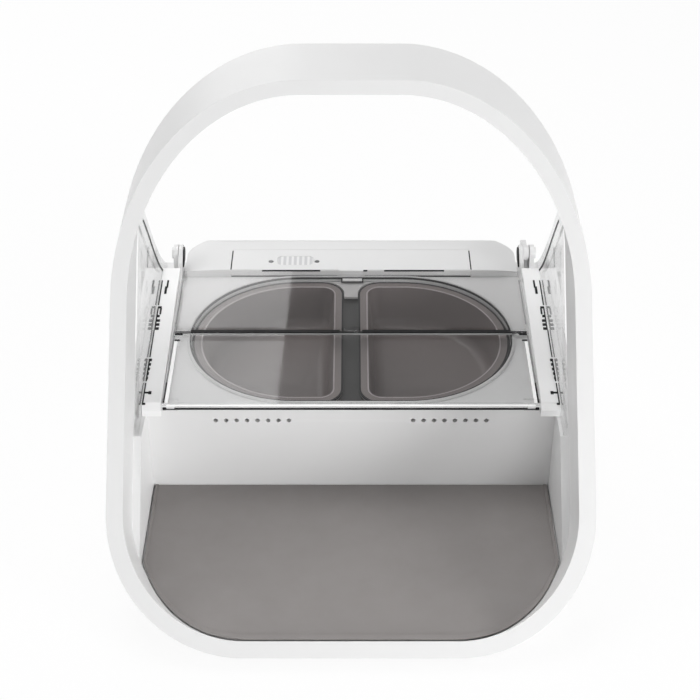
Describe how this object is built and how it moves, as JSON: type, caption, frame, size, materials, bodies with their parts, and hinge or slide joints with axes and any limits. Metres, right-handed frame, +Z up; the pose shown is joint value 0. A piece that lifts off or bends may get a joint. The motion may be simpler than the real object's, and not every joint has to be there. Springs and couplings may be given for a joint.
{
  "type": "microchip pet feeder",
  "caption": "Pet feeder with a leaning antenna hoop, a folding clear lid over paired bowls, a grey standing mat and a motor drive.",
  "frame": {"origin": "centre of the footprint, on the surface the feet stand on", "axes": "+X to the right seen from the front, +Y to the back, +Z up"},
  "size_m": [0.23, 0.322, 0.208],
  "materials": {
    "gloss_white": "gloss",
    "satin_white": "satin",
    "mat_grey": "matte, fine grain",
    "tray_dark": "matte",
    "bowl_grey": "satin",
    "clear_plastic": "clear moulded plastic",
    "seal_rubber": "soft matte",
    "indicator_clear": "frosted",
    "lamp_lens": "gloss",
    "pin_steel": "satin",
    "copper_coil": "enamelled copper",
    "gear_plastic": "satin",
    "gear_brass": "machined",
    "motor_steel": "satin",
    "cell_sleeve": "gloss sleeve",
    "board_green": "satin solder mask",
    "button_grey": "satin",
    "foot_rubber": "matte"
  },
  "bodies": {
    "base": {"hoop_outer_shell": "gloss_white", "hoop_inner_shell": "gloss_white", "antenna_coil": "copper_coil", "body_shell": "gloss_white", "deck_panel": "satin_white", "rear_housing": "satin_white", "bowl_tray": "tray_dark", "lid_seal": "seal_rubber", "side_rail_left": "satin_white", "side_rail_right": "satin_white", "side_guard_left": "clear_plastic", "side_guard_right": "clear_plastic", "hinge_bracket_left": "satin_white", "hinge_bracket_right": "satin_white", "hinge_pin_left": "pin_steel", "hinge_pin_right": "pin_steel", "drive_motor": "motor_steel", "gear_frame": "tray_dark", "bottom_plate": "satin_white", "battery_cell_1": "cell_sleeve", "battery_cell_2": "cell_sleeve", "battery_cell_3": "cell_sleeve", "battery_cell_4": "cell_sleeve", "battery_contacts": "pin_steel", "circuit_board": "board_green", "indicator_board": "board_green", "button_board": "board_green", "rubber_foot_1": "foot_rubber", "rubber_foot_2": "foot_rubber", "rubber_foot_3": "foot_rubber", "rubber_foot_4": "foot_rubber", "case_screws": "pin_steel"},
    "mat": {"floor_mat": "mat_grey"},
    "cover": {"access_cover": "satin_white", "indicator_window": "indicator_clear", "indicator_lamp_left": "lamp_lens", "indicator_lamp_right": "lamp_lens"},
    "lid_rear": {"lid_rear_panel": "clear_plastic", "fold_pins": "pin_steel", "drive_sector": "satin_white"},
    "lid_front": {"lid_front_panel": "clear_plastic", "guide_pin_left": "pin_steel", "guide_pin_right": "pin_steel"},
    "bowl_l": {"bowl_left": "bowl_grey"},
    "bowl_r": {"bowl_right": "bowl_grey"},
    "drive_gear": {"reduction_gear": "gear_plastic"},
    "motor_shaft": {"motor_pinion": "gear_brass"},
    "door_l": {"battery_door_left": "satin_white"},
    "door_r": {"battery_door_right": "satin_white"},
    "button_1": {"button_add_pet": "button_grey"},
    "button_2": {"button_open_close": "button_grey"},
    "button_3": {"button_training": "button_grey"}
  },
  "joints": [
    {"name": "lid_hinge", "type": "hinge", "parent": "base", "child": "lid_rear", "pos_m": [0, 0.0835, 0.074], "axis": [-1, 0, 0], "range_deg": [0, 83]},
    {"name": "lid_fold", "type": "hinge", "parent": "lid_rear", "child": "lid_front", "pos_m": [0, 0.0185, 0.0644], "axis": [-1, 0, 0], "range_deg": [-166, 0]},
    {"name": "drive_gear_spin", "type": "hinge", "parent": "base", "child": "drive_gear", "pos_m": [0.09, 0.0835, 0.054], "axis": [-1, 0, 0], "range_deg": [-249, 0]},
    {"name": "motor_spin", "type": "hinge", "parent": "base", "child": "motor_shaft", "pos_m": [0.08, 0.0932, 0.0484], "axis": [-1, 0, 0], "range_deg": [0, 622.5]},
    {"name": "mat_lift", "type": "slide", "parent": "base", "child": "mat", "axis": [0, 0, 1], "range_m": [0, 0.03]},
    {"name": "cover_lift", "type": "slide", "parent": "base", "child": "cover", "axis": [0, 0, 1], "range_m": [0, 0.02]},
    {"name": "bowl_left_lift", "type": "slide", "parent": "base", "child": "bowl_l", "axis": [0, 0, 1], "range_m": [0, 0.0015]},
    {"name": "bowl_right_lift", "type": "slide", "parent": "base", "child": "bowl_r", "axis": [0, 0, 1], "range_m": [0, 0.0015]},
    {"name": "battery_door_left_slide", "type": "slide", "parent": "base", "child": "door_l", "axis": [0, 1, 0], "range_m": [0, 0.008]},
    {"name": "battery_door_right_slide", "type": "slide", "parent": "base", "child": "door_r", "axis": [0, 1, 0], "range_m": [0, 0.008]},
    {"name": "button_add_pet_press", "type": "slide", "parent": "base", "child": "button_1", "axis": [0, -1, 0], "range_m": [0, 0.0015], "stiffness_N_per_m": 400},
    {"name": "button_open_close_press", "type": "slide", "parent": "base", "child": "button_2", "axis": [0, -1, 0], "range_m": [0, 0.0015], "stiffness_N_per_m": 400},
    {"name": "button_training_press", "type": "slide", "parent": "base", "child": "button_3", "axis": [0, -1, 0], "range_m": [0, 0.0015], "stiffness_N_per_m": 400}
  ],
  "couplings": [
    {"joint": "lid_fold", "follows": "lid_hinge", "ratio": -2},
    {"joint": "drive_gear_spin", "follows": "lid_hinge", "ratio": -3},
    {"joint": "motor_spin", "follows": "lid_hinge", "ratio": 7.5}
  ]
}
